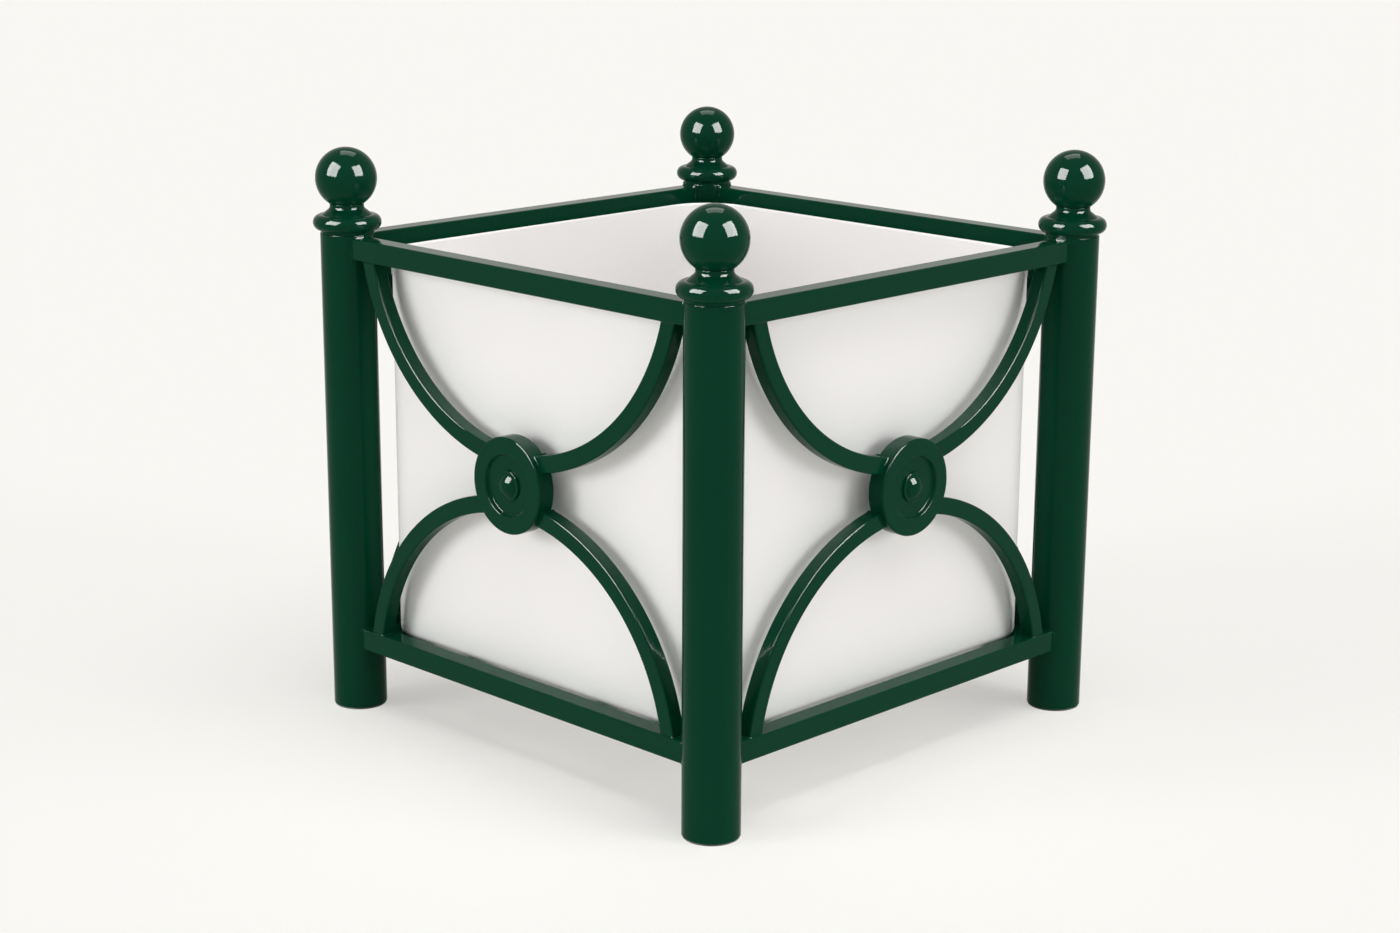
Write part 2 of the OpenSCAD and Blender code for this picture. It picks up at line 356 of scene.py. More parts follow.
class Shader:
    """The nodes of one material or of the world."""

    def __init__(self, tree: bpy.types.NodeTree) -> None:
        """Empties the tree for new nodes."""
        self.tree = tree
        tree.nodes.clear()

    def node(self, kind: str, settings: dict[str, Any], sockets: dict[Any, Any]) -> bpy.types.NodeOutputs:
        """Adds a node.

        Args:
            kind: The node's type.
            settings: Its own settings, which are set first.
            sockets: The value or link of each of its sockets, by name or number.

        Returns:
            The node's outputs.
        """
        made = self.tree.nodes.new(kind)
        for key, setting in settings.items():
            setattr(made, key, setting)
        for key, value in sockets.items():
            if isinstance(value, Value):
                value = value.socket
            if isinstance(value, bpy.types.NodeSocket):
                self.tree.links.new(value, made.inputs[key])
            else:
                made.inputs[key].default_value = value
        return made.outputs

    def place(self) -> bpy.types.NodeSocket:
        """A point's place on the piece, which doesn't change as the piece moves."""
        return self.node("ShaderNodeTexCoord", {}, {})["Object"]

    def noise(self, clouds: Clouds) -> Value:
        """Lays a cloudy pattern on the piece.

        Args:
            clouds: The pattern's sizes.

        Returns:
            The pattern, from 0 to 1.
        """
        place = self.node("ShaderNodeMapping", {}, {"Vector": self.place(), "Location": clouds.start})
        out = self.node("ShaderNodeTexNoise", {}, {
            "Vector": place["Vector"], "Scale": clouds.scale, "Detail": clouds.detail,
        })
        return Value(self, out["Fac"])

    def mix(self, amount: Any, first: Colour, second: Colour) -> bpy.types.NodeSocket:
        """Mixes two colours.

        Args:
            amount: The share of the second colour.
            first: The first colour.
            second: The second colour.

        Returns:
            The mixed colour.
        """
        out = self.node("ShaderNodeMix", {"data_type": "RGBA"}, {
            0: amount, MIX_FIRST: opaque(first), MIX_SECOND: opaque(second),
        })
        return out[MIX_RESULT]

    def bump(self, height: Value, distance: float, strength: float) -> bpy.types.NodeSocket:
        """Turns heights into a bump of the surface, and returns its normal."""
        out = self.node("ShaderNodeBump", {}, {"Height": height, "Distance": distance, "Strength": strength})
        return out["Normal"]

    def seen(self) -> Value:
        """One for a ray from the camera, from gloss or through glass, and nothing for any other."""
        path = self.node("ShaderNodeLightPath", {}, {})
        return Value(self, path["Is Camera Ray"]) | path["Is Glossy Ray"] | path["Is Transmission Ray"]

    def surface(self, sockets: dict[Any, Any]) -> None:
        """Ends a material in a Principled shader with these sockets."""
        out = self.node("ShaderNodeBsdfPrincipled", {}, sockets)
        self.node("ShaderNodeOutputMaterial", {}, {"Surface": out["BSDF"]})


def opaque(colour: Colour) -> tuple[float, float, float, float]:
    """The colour with a full alpha, as a socket takes it."""
    return (*colour, 1.0)


@dataclass(frozen=True)
class Finish:
    """What a piece is coated with or made of."""

    name: str
    slot: Slot

    def material(self) -> bpy.types.Material:
        """Gives the finish as a material.

        Returns:
            The material, which is made once.
        """
        found = bpy.data.materials.get(self.name)
        if found is None:
            found = bpy.data.materials.new(self.name)
            found.use_nodes = True
            self.lay(Shader(found.node_tree))
        return found

    def lay(self, shader: Shader) -> None:
        """Lays the finish's nodes."""
        raise NotImplementedError


@dataclass(frozen=True)
class GlossPaint(Finish):
    """Deep green gloss enamel with a faint orange peel, and ripples over a weld."""

    name: str = "green_gloss_paint"
    slot: Slot = Slot.PAINT
    colour: Colour = (0.0012, 0.0418, 0.0204)
    deep_colour: Colour = (0.0008, 0.0368, 0.0178)
    shine: float = 0.045
    tone: Clouds = Clouds(9.0, 3.0)
    flow: Clouds = Clouds(60.0, 2.0, (3.1, 1.7, 0.4))
    peel: Clouds = Clouds(420.0, 1.0)
    ripples: Clouds = Clouds(170.0, 1.0, (0.3, 2.2, 5.0))
    # Roughness at its least, and how much the paint's flow adds to it
    roughness: float = 0.035
    flow_roughness: float = 0.03
    peel_height: float = 0.000006
    peel_strength: float = 0.12
    # Height of the ripples, where the peel's is 1
    ripple: float = 0.0

    def lay(self, shader: Shader) -> None:
        """Lays the paint's colour, its gloss and its peel.

        Args:
            shader: The material's nodes.
        """
        height = shader.noise(self.peel)
        if self.ripple:
            height = height + self.ripple * shader.noise(self.ripples)
        shader.surface({
            "Base Color": shader.mix(shader.noise(self.tone), self.deep_colour, self.colour),
            "Roughness": self.roughness + self.flow_roughness * shader.noise(self.flow),
            "Specular IOR Level": self.shine,
            "Normal": shader.bump(height, self.peel_height, self.peel_strength),
        })


@dataclass(frozen=True)
class WhitePlastic(Finish):
    """Moulded white plastic with a satin skin and slightly wavy walls."""

    name: str = "white_satin_plastic"
    slot: Slot = Slot.LINER
    colour: Colour = (0.892, 0.872, 0.860)
    shade_colour: Colour = (0.876, 0.856, 0.845)
    shine: float = 0.2
    tone: Clouds = Clouds(5.0, 4.0)
    waves: Clouds = Clouds(14.0, 1.0, (4.0, 0.5, 1.5))
    skin: Clouds = Clouds(900.0, 2.0)
    # Roughness at its least, and how much the tone adds to it
    roughness: float = 0.36
    tone_roughness: float = 0.1
    wave_height: float = 0.0006
    wave_strength: float = 0.25
    # Height of the skin's grain, where the waves' is 1
    skin_height: float = 0.01

    def lay(self, shader: Shader) -> None:
        """Lays the plastic's colour, its satin sheen and its slight waviness.

        Args:
            shader: The material's nodes.
        """
        tone = shader.noise(self.tone)
        height = shader.noise(self.waves) + self.skin_height * shader.noise(self.skin)
        shader.surface({
            "Base Color": shader.mix(tone, self.shade_colour, self.colour),
            "Roughness": self.roughness + self.tone_roughness * tone,
            "Specular IOR Level": self.shine,
            "Normal": shader.bump(height, self.wave_height, self.wave_strength),
        })


@dataclass(frozen=True)
class BlackPlastic(Finish):
    """Black moulded plastic with a fine grain."""

    name: str = "black_grained_plastic"
    slot: Slot = Slot.PLUG
    colour: Colour = (0.012, 0.013, 0.013)
    worn_colour: Colour = (0.03, 0.03, 0.029)
    wear: Clouds = Clouds(90.0, 5.0)
    grain: Clouds = Clouds(1500.0, 2.0)
    # Roughness at its least, and how much wear adds to it
    roughness: float = 0.5
    wear_roughness: float = 0.2
    grain_height: float = 0.00008
    grain_strength: float = 0.4

    def lay(self, shader: Shader) -> None:
        """Lays the plastic's colour, its dull skin and its grain.

        Args:
            shader: The material's nodes.
        """
        wear = shader.noise(self.wear)
        shader.surface({
            "Base Color": shader.mix(wear, self.colour, self.worn_colour),
            "Roughness": self.roughness + self.wear_roughness * wear,
            "Normal": shader.bump(shader.noise(self.grain), self.grain_height, self.grain_strength),
        })


@dataclass(frozen=True)
class BrightSteel(Finish):
    """Bright steel with fine thread-like rings along its length."""

    name: str = "bright_steel"
    slot: Slot = Slot.STUD
    colour: Colour = (0.56, 0.56, 0.57)
    dull_colour: Colour = (0.42, 0.42, 0.43)
    tone: Clouds = Clouds(120.0, 4.0)
    # Roughness at its least, and how much the tone adds to it
    roughness: float = 0.22
    tone_roughness: float = 0.16
    ring_scale: float = 200.0
    ring_height: float = 0.0003
    ring_strength: float = 0.5

    def lay(self, shader: Shader) -> None:
        """Lays the steel's colour, its shine and the rings round it.

        Args:
            shader: The material's nodes.
        """
        tone = shader.noise(self.tone)
        rings = shader.node(
            "ShaderNodeTexWave", {"wave_type": "BANDS", "bands_direction": "Z"},
            {"Vector": shader.place(), "Scale": self.ring_scale},
        )
        shader.surface({
            "Base Color": shader.mix(tone, self.dull_colour, self.colour),
            "Metallic": 1.0,
            "Roughness": self.roughness + self.tone_roughness * tone,
            "Normal": shader.bump(Value(shader, rings["Fac"]), self.ring_height, self.ring_strength),
        })


PAINT = GlossPaint()
WELD_PAINT = GlossPaint(name="green_gloss_paint_over_weld", peel_strength=0.5, ripple=4.0)
LINER_PLASTIC = WhitePlastic()
PLUG_PLASTIC = BlackPlastic()
STUD_STEEL = BrightSteel()


@dataclass(frozen=True)
class Sizes:
    """Sizes that several sub-assemblies share, read from the CAD frame."""

    half: float
    post_r: float
    rail_face: float
    rail_inner: float
    upper_low: float
    lower_low: float
    lower_high: float
    arm_face: float
    arm_back: float
    arm_reach: float
    boss_r: float
    boss_face: float
    boss_back: float
    boss_z: float

    @classmethod
    def read(cls) -> "Sizes":
        """Reads the sizes from the boxes of the frame's nodes.

        Returns:
            The sizes.
        """
        post_low, post_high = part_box("post_front_right")
        upper_low, upper_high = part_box("top_rail_front")
        lower_low, lower_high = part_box("bottom_rail_front")
        arm_low, arm_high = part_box("arm_front_upper_right")
        boss_low, boss_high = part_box("boss_front")
        return cls(
            half=(post_low.x + post_high.x) / 2,
            post_r=(post_high.x - post_low.x) / 2,
            rail_face=-upper_low.y,
            rail_inner=-upper_high.y,
            upper_low=upper_low.z,
            lower_low=lower_low.z,
            lower_high=lower_high.z,
            arm_face=-arm_low.y,
            arm_back=-arm_high.y,
            arm_reach=arm_high.x,
            boss_r=(boss_high.x - boss_low.x) / 2,
            boss_face=-boss_low.y,
            boss_back=-boss_high.y,
            boss_z=(boss_low.z + boss_high.z) / 2,
        )

    def post_surface(self, y: float) -> float:
        """How far along X the inner side of the front right post's skin is, at this Y."""
        off = min(abs(y + self.half), self.post_r)
        return self.half - math.sqrt(self.post_r ** 2 - off ** 2)

    def at_post(self, corner: Corner) -> Matrix:
        """The place of this corner's post, for a piece made on the Z axis."""
        return turned_to(corner) @ Matrix.Translation((self.half, -self.half, 0))


def rotation(angle: float, axis: str) -> Matrix:
    """A turn about an axis through the origin, by an angle in radians."""
    return Matrix.Rotation(angle, 4, axis)


def turned_to(place: Enum) -> Matrix:
    """The turn about +Z that takes the first corner or side to this one."""
    return rotation(math.radians(place.value), "Z")


def weld_bead(points: Sequence[Vector], radius: float) -> Workpiece:
    """Makes a bead that runs round a joint.

    Args:
        points: The joint's line, which closes on itself.
        radius: The bead's radius.

    Returns:
        The bead as a closed tube.
    """
    curve = bpy.data.curves.new("bead", "CURVE")
    curve.dimensions = "3D"
    curve.bevel_depth = radius
    curve.bevel_resolution = BEAD_ROUND
    spline = curve.splines.new("POLY")
    spline.points.add(len(points) - 1)
    for at, point in zip(spline.points, points):
        at.co = (*point, 1.0)
    spline.use_cyclic_u = True
    holder = bpy.data.objects.new("bead", curve)
    mesh = bpy.data.meshes.new_from_object(holder)
    work = Workpiece()
    work.bm.from_mesh(mesh)
    bpy.data.objects.remove(holder)
    bpy.data.curves.remove(curve)
    bpy.data.meshes.remove(mesh)
    return work


@dataclass
class Posts:
    """The four post tubes and the plugs that they stand on."""

    sizes: Sizes
    wall: float = 0.002
    end_bevel: float = 0.0008
    plug_inset: float = 0.001
    plug_edge_r: float = 0.0006
    plug_wall: float = 0.003
    plug_fit: float = 0.00015
    edge_steps: int = 4
    facets: int = 160

    def build(self) -> None:
        """Makes a tube and a plug at each corner."""
        for corner in Corner:
            place, label = self.sizes.at_post(corner), corner.label
            self.tube(corner).moved(place).piece(f"tube_{label}", PAINT, [f"post_{label}"])
            self.plug(corner).moved(place).piece(f"plug_{label}", PLUG_PLASTIC, [f"foot_plug_{label}"])

    def tube(self, corner: Corner) -> Workpiece:
        """Turns the tube of a post, with broken edges at both ends.

        Args:
            corner: The post's corner.

        Returns:
            The tube on the Z axis.
        """
        low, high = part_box(f"post_{corner.label}")
        outer, inner, bevel = self.sizes.post_r, self.sizes.post_r - self.wall, self.end_bevel
        outline = Outline().to(inner, low.z).to(outer - bevel, low.z)
        outline.arc((outer - bevel, low.z + bevel), bevel, -90, 0, self.edge_steps)
        outline.arc((outer - bevel, high.z - bevel), bevel, 0, 90, self.edge_steps).to(inner, high.z)
        return Workpiece().turned(outline, self.facets, closed=True)

    def plug(self, corner: Corner) -> Workpiece:
        """Turns a foot plug: a thin flange under the tube and a cup inside it.

        Args:
            corner: The post's corner.

        Returns:
            The plug on the Z axis.
        """
        low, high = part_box(f"foot_plug_{corner.label}")
        tube_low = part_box(f"post_{corner.label}")[0].z
        flange = self.sizes.post_r - self.plug_inset
        insert = self.sizes.post_r - self.wall - self.plug_fit
        cup, edge = insert - self.plug_wall, self.plug_edge_r
        outline = Outline().to(0, low.z)
        outline.arc((flange - edge, low.z + edge), edge, -90, 0, self.edge_steps)
        outline.to(flange, tube_low).to(insert, tube_low).to(insert, high.z).to(cup, high.z)
        outline.to(cup, tube_low + self.plug_wall).to(0, tube_low + self.plug_wall)
        return Workpiece().turned(outline, self.facets)


@dataclass
class Finials:
    """The turned collars and the balls on top of the posts."""

    sizes: Sizes
    spigot_inset: float = 0.00215
    land_inset: float = 0.001
    land_height: float = 0.003
    ring_r: float = 0.00925
    ring_steps: int = 40
    neck_r: float = 0.020
    neck_land: float = 0.0025
    neck_edge_r: float = 0.0007
    neck_edge_steps: int = 4
    cove_r: float = 0.005
    cove_steps: int = 10
    # Fall of the flare between the cove and the ring, in degrees below level
    flare_fall: float = 38.0
    stud_hole_r: float = 0.005
    stud_hole_depth: float = 0.018
    ball_steps: int = 96
    facets: int = 192

    def build(self) -> None:
        """Makes a collar and a ball at each corner, and dresses the studs."""
        for corner in Corner:
            place, label = self.sizes.at_post(corner), corner.label
            collar, ball = self.collar(corner).moved(place), self.ball(corner).moved(place)
            collar.piece(f"collar_{label}", PAINT, [f"finial_collar_{label}"])
            ball.piece(f"ball_{label}", PAINT, [f"finial_ball_{label}"], flats=False)
        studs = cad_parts["finial_studs"]
        studs.data.materials.clear()
        studs.data.materials.append(STUD_STEEL.material())

    def collar(self, corner: Corner) -> Workpiece:
        """Turns a collar: a spigot in the post, a rolled ring, a flare, a cove and the neck.

        Args:
            corner: The collar's corner.

        Returns:
            The collar on the Z axis.
        """
        low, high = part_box(f"finial_collar_{corner.label}")
        post_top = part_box(f"post_{corner.label}")[1].z
        spigot, land = self.sizes.post_r - self.spigot_inset, self.sizes.post_r - self.land_inset
        ring = ((high.x - low.x) / 2 - self.ring_r, post_top + self.land_height + self.ring_r)
        cove = (self.neck_r + self.cove_r, high.z - self.neck_land)
        edge, hole, hole_z = self.neck_edge_r, self.stud_hole_r, high.z - self.stud_hole_depth
        land_side = -math.degrees(math.acos((land - ring[0]) / self.ring_r))
        outline = Outline().to(0, low.z).to(spigot, low.z).to(spigot, post_top).to(land, post_top)
        outline.arc(ring, self.ring_r, land_side, self.crease(ring, cove), self.ring_steps)
        outline.arc(cove, self.cove_r, 270 - self.flare_fall, 180, self.cove_steps)
        outline.arc((self.neck_r - edge, high.z - edge), edge, 0, 90, self.neck_edge_steps)
        outline.to(hole, high.z).to(hole, hole_z).to(0, hole_z)
        return Workpiece().turned(outline, self.facets)

    def crease(self, ring: Point, cove: Point) -> float:
        """Works out where the flare runs into the ring.

        Args:
            ring: Centre of the ring's section.
            cove: Centre of the cove's section.

        Returns:
            The direction of that point from the ring's centre, in degrees.
        """
        fall = math.radians(self.flare_fall)
        across, up = cove[0] - ring[0], cove[1] - ring[1]
        # How far the flare's line lies above the ring's centre, square to the line
        depth = across * math.sin(fall) + up * math.cos(fall) - self.cove_r
        return 90 - self.flare_fall + math.degrees(math.acos(depth / self.ring_r))

    def ball(self, corner: Corner) -> Workpiece:
        """Turns a ball, with a flat seat on the neck and the stud's hole in it.

        Args:
            corner: The ball's corner.

        Returns:
            The ball on the Z axis.
        """
        low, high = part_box(f"finial_ball_{corner.label}")
        radius = (high.x - low.x) / 2
        start = -math.degrees(math.acos(self.neck_r / radius))
        hole, hole_z = self.stud_hole_r, low.z + self.stud_hole_depth
        outline = Outline().to(0, hole_z).to(hole, hole_z).to(hole, low.z)
        outline.arc((0, high.z - radius), radius, start, 90, self.ball_steps)
        return Workpiece().turned(outline, self.facets)


@dataclass
class Rails:
    """The two rings of square rails, coped to the posts and welded round."""

    sizes: Sizes
    wall: float = 0.002
    edge_r: float = 0.0020
    edge_steps: int = 5
    bead_r: float = 0.0018
    # Parts of each flat along a rail's end, so that the end follows the post
    slices: int = 10

    def build(self) -> None:
        """Makes each rail and the weld beads at both of its ends."""
        size = self.sizes.rail_face - self.sizes.rail_inner
        rings = (("upper", "top", self.sizes.upper_low), ("lower", "bottom", self.sizes.lower_low))
        for side in Side:
            turn, label = turned_to(side), side.label
            welds = Workpiece()
            for ring, node, low in rings:
                middle = Vector((0, -(self.sizes.rail_face + self.sizes.rail_inner) / 2, low + size / 2))
                rail = self.rail(size, middle).moved(turn)
                rail.piece(f"{ring}_rail_tube_{label}", PAINT, [f"{node}_rail_{label}"])
                for hand in Hand:
                    welds.added(self.bead(size, middle, hand))
            welds.moved(turn).piece(f"rail_welds_{label}", WELD_PAINT, flats=False)

    def section(self, size: float, middle: Vector, x: float) -> list[Vector]:
        """Gives a rail's section, with points along its flats too.

        Args:
            size: The section's width and height.
            middle: The rail's middle.
            x: Where along X the section is.

        Returns:
            The section's points, in order.
        """
        outline = Outline.rounded(size, size, self.edge_r, self.edge_steps)
        bends = [Vector((x, middle.y + across, middle.z + up)) for across, up in outline.points]
        points: list[Vector] = []
        for first, second in zip(bends, bends[1:] + bends[:1]):
            parts = self.slices if (second - first).length > 2 * self.edge_r else 1
            points += [first.lerp(second, part / parts) for part in range(parts)]
        return points

    def rail(self, size: float, middle: Vector) -> Workpiece:
        """Makes one rail of the front side: its skin and its bore, joined at the coped ends.

        Args:
            size: The rail's width and height.
            middle: Its middle.

        Returns:
            The rail.
        """
        work = Workpiece()
        ends = (-self.sizes.half, self.sizes.half)
        skin = [work.wire(self.section(size, middle, x)) for x in ends]
        bore = [work.wire(self.section(size - 2 * self.wall, middle, x)) for x in ends]
        work.joined([bore[0], skin[0], skin[1], bore[1], bore[0]])
        return work.shaped(self.coped)

    def coped(self, point: Vector) -> Vector:
        """Draws a point of a rail's end back to the skin of the post."""
        return Vector((math.copysign(self.sizes.post_surface(point.y), point.x), point.y, point.z))

    def bead(self, size: float, middle: Vector, hand: Hand) -> Workpiece:
        """The weld bead round one end of a rail."""
        points = [self.coped(point) for point in self.section(size, middle, hand.value * self.sizes.half)]
        return weld_bead(points, self.bead_r)


@dataclass
class SidePanels:
    """The curved arms of each side, which meet at a round boss with a dome in it."""

    sizes: Sizes
    arm_w: float = 0.020
    arm_edge_r: float = 0.0021
    arm_edge_steps: int = 5
    arm_slices: int = 72
    bead_r: float = 0.0010
    boss_gap: float = 0.017
    boss_edge_r: float = 0.0022
    boss_edge_steps: int = 8
    boss_ring_w: float = 0.0195
    recess: float = 0.0045
    recess_wall: float = 0.0021
    lip_r: float = 0.0013
    dish_r: float = 0.0016
    fine_steps: int = 6
    flange_r: float = 0.0175
    flange_t: float = 0.003
    flange_edge_r: float = 0.0013
    cap_r: float = 0.014
    cap_h: float = 0.007
    cap_steps: int = 28
    shank_hole_r: float = 0.004
    shank_r: float = 0.00385
    facets: int = 192

    def build(self) -> None:
        """Makes the arms, their welds, the bosses and the domes."""
        domes = Workpiece()
        for side in Side:
            turn = turned_to(side)
            welds = Workpiece()
            for level in Level:
                for hand in Hand:
                    label = f"{side.label}_{level.name.lower()}_{hand.name.lower()}"
                    self.arm(level, hand).moved(turn).piece(f"arm_bar_{label}", PAINT, [f"arm_{label}"])
                    welds.added(self.end_bead(level, hand, 0.0)).added(self.end_bead(level, hand, 1.0))
            welds.moved(turn).piece(f"arm_welds_{side.label}", WELD_PAINT, flats=False)
            outward = turn @ Matrix.Translation((0, -self.sizes.boss_face, self.sizes.boss_z))
            outward = outward @ rotation(QUARTER_TURN, "X")
            self.boss().moved(outward).piece(f"boss_disc_{side.label}", PAINT, [f"boss_{side.label}"])
            domes.added(self.dome().moved(outward))
        domes.piece("domes", PAINT, ["dome_rivets"], flats=False)

    def arc(self, level: Level) -> tuple[float, float, float]:
        """Works out an arm's arc.

        Args:
            level: Which pair of arms.

        Returns:
            The arc's outer radius, the height of its centre and the height of the rail's edge.
        """
        rail_z = self.sizes.upper_low if level is Level.UPPER else self.sizes.lower_high
        rise = abs(rail_z - self.sizes.boss_z) - self.boss_gap
        radius = (self.sizes.arm_reach ** 2 + rise ** 2) / (2 * rise)
        return radius, self.sizes.boss_z + level.value * (self.boss_gap + radius), rail_z

    def along(self, level: Level, hand: Hand, radius: float, y: float, part: float) -> Vector:
        """Finds a point of an arm.

        Args:
            level: Which pair of arms.
            hand: Which of the pair.
            radius: The point's distance from the arc's centre.
            y: The point's place from front to back.
            part: How far it is from the boss, at 0, to the rail, at 1.

        Returns:
            The point.
        """
        centre_z, rail_z = self.arc(level)[1:]
        lift = abs(centre_z - self.sizes.boss_z)
        start = math.acos((radius ** 2 + lift ** 2 - self.sizes.boss_r ** 2) / (2 * radius * lift))
        end = math.acos(abs(centre_z - rail_z) / radius)
        if (centre_z - rail_z) * level.value < 0:
            end = math.pi - end
        angle = start + (end - start) * part
        return Vector((
            hand.value * radius * math.sin(angle), y, centre_z - level.value * radius * math.cos(angle),
        ))

    def section(self, level: Level) -> list[Point]:
        """Gives an arm's section.

        Args:
            level: Which pair of arms.

        Returns:
            The section as (radius, y) points.
        """
        radius = self.arc(level)[0] - self.arm_w / 2
        middle = -(self.sizes.arm_face + self.sizes.arm_back) / 2
        depth = self.sizes.arm_face - self.sizes.arm_back
        outline = Outline.rounded(self.arm_w, depth, self.arm_edge_r, self.arm_edge_steps)
        return [(radius + across, middle + up) for across, up in outline.points]

    def arm(self, level: Level, hand: Hand) -> Workpiece:
        """Makes one arm of the front side: its section spun from the boss to the rail.

        Args:
            level: Which pair of arms.
            hand: Which of the pair.

        Returns:
            The arm.
        """
        centre_z = self.arc(level)[1]
        work = Workpiece()
        section = self.section(level)
        edges = work.wire(Vector((0, y, centre_z - level.value * radius)) for radius, y in section)
        spun = bmesh.ops.spin(
            work.bm, geom=corners(edges) + edges, cent=(0, 0, centre_z), axis=(0, 1, 0),
            angle=-level.value * hand.value * QUARTER_TURN, steps=self.arm_slices,
        )
        last = [item for item in spun["geom_last"] if isinstance(item, bmesh.types.BMEdge)]
        for rim in (edges, last):
            bmesh.ops.contextual_create(work.bm, geom=rim)

        def trimmed(point: Vector) -> Vector:
            """Draws a point of the quarter ring in between the boss and the rail.

            Args:
                point: A point of the quarter ring.

            Returns:
                Its place on the arm.
            """
            radius = math.hypot(point.x, point.z - centre_z)
            angle = math.atan2(abs(point.x), level.value * (centre_z - point.z))
            return self.along(level, hand, radius, point.y, angle / QUARTER_TURN)

        return work.shaped(trimmed)

    def end_bead(self, level: Level, hand: Hand, part: float) -> Workpiece:
        """The weld bead round an arm's end, at the boss or at the rail."""
        points = [self.along(level, hand, radius, y, part) for radius, y in self.section(level)]
        return weld_bead(points, self.bead_r)

    def boss(self) -> Workpiece:
        """Turns a boss: a flat ring with a soft lip, round a recess with a steep wall.

        Returns:
            The boss with its face up at the origin.
        """
        radius, edge, lip, dish = self.sizes.boss_r, self.boss_edge_r, self.lip_r, self.dish_r
        back = self.sizes.boss_back - self.sizes.boss_face
        rim, floor_r = radius - self.boss_ring_w, radius - self.boss_ring_w - self.recess_wall
        slope = math.degrees(math.atan2(self.recess, self.recess_wall))
        # How far each round of the wall reaches from its corner, for a radius of 1
        reach = math.tan(math.radians(slope / 2))
        outline = Outline().to(self.shank_hole_r, back)
        outline.arc((radius - edge, back + edge), edge, -90, 0, self.fine_steps)
        outline.arc((radius - edge, -edge), edge, 0, 90, self.boss_edge_steps)
        outline.arc((rim + lip * reach, -lip), lip, 90, 90 + slope, self.fine_steps)
        outline.arc((floor_r - dish * reach, dish - self.recess), dish, slope - 90, -90, self.fine_steps)
        outline.to(self.shank_hole_r, -self.recess)
        return Workpiece().turned(outline, self.facets, closed=True)

    def dome(self) -> Workpiece:
        """Turns a dome: its shank, a flange in the recess and a round cap on the flange.

        Returns:
            The dome in the place that it has in a boss with its face up at the origin.
        """
        back = self.sizes.boss_back - self.sizes.boss_face
        seat, edge = -self.recess, self.flange_edge_r
        flange_z = seat + self.flange_t
        sphere_r = (self.cap_r ** 2 + self.cap_h ** 2) / (2 * self.cap_h)
        lean = math.degrees(math.acos(self.cap_r / sphere_r))
        outline = Outline().to(0, back).to(self.shank_r, back).to(self.shank_r, seat).to(self.flange_r, seat)
        outline.arc((self.flange_r - edge, flange_z - edge), edge, 0, 90, self.fine_steps)
        outline.arc((0, flange_z + self.cap_h - sphere_r), sphere_r, lean, 90, self.cap_steps)
        return Workpiece().turned(outline, self.facets)


@dataclass
class Liner:
    """The white lift-out box with round corners and a round bottom edge."""

    corner_r: float = 0.06118
    corner_steps: int = 20
    wall: float = 0.004
    floor: float = 0.005
    edge_r: float = 0.010
    outer_steps: int = 12
    lip_steps: int = 10
    inner_steps: int = 8
    drain_r: float = 0.010
    drain_offset: float = 0.160
    drain_facets: int = 32

    def build(self) -> None:
        """Makes the liner."""
        low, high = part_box("liner")
        work = Workpiece()
        skin = [work.wire(self.loop(high.x, *at)) for at in self.wall_section(low.z, high.z)]
        work.joined(skin)
        levels = (low.z, low.z + self.floor)
        drains = [[work.wire(self.drain(x, y, z)) for z in levels] for x, y in self.drain_places()]
        for rim, level in ((skin[0], 0), (skin[-1], 1)):
            holes = [edge for drain in drains for edge in drain[level]]
            bmesh.ops.triangle_fill(work.bm, edges=rim + holes, use_beauty=True)
        for drain in drains:
            work.joined(drain)
        work.merged().piece("liner_box", LINER_PLASTIC, ["liner"], body=LINER_BODY)

    def wall_section(self, bottom: float, rim: float) -> list[Point]:
        """Gives the wall's section, first outside and then inside.

        Args:
            bottom: Height of the liner's underside.
            rim: Height of its rim.

        Returns:
            The section as (inset from the outside, height) points.
        """
        outer, lip = self.edge_r, self.wall / 2
        bend = self.edge_r - self.wall
        floor_side = 180 + math.degrees(math.asin((outer - self.floor) / bend))
        outline = Outline().arc((outer, bottom + outer), outer, 270, 180, self.outer_steps)
        outline.arc((lip, rim - lip), lip, 180, 0, self.lip_steps)
        outline.arc((outer, bottom + outer), bend, 180, floor_side, self.inner_steps)
        return outline.points

    def loop(self, half: float, inset: float, height: float) -> list[Vector]:
        """Draws the liner's outline at one height, as a square with round corners.

        Args:
            half: Half the liner's width outside.
            inset: How far the outline lies inside that.
            height: The outline's height.

        Returns:
            The outline's points, in order.
        """
        size = 2 * (half - inset)
        outline = Outline.rounded(size, size, self.corner_r - inset, self.corner_steps)
        return [Vector((x, y, height)) for x, y in outline.points]

    def drain_places(self) -> list[Point]:
        """Where the drain holes are."""
        off = self.drain_offset
        return [(0, 0), (off, off), (off, -off), (-off, off), (-off, -off)]

    def drain(self, x: float, y: float, z: float) -> list[Vector]:
        """Draws the rim of a drain hole.

        Args:
            x: The hole's middle along X.
            y: Its middle along Y.
            z: The rim's height.

        Returns:
            The rim's points, in order.
        """
        chords = self.drain_facets - 1
        outline = Outline().arc((0, 0), self.drain_r, 0, 360 * chords / self.drain_facets, chords)
        return [Vector((x + across, y + up, z)) for across, up in outline.points]


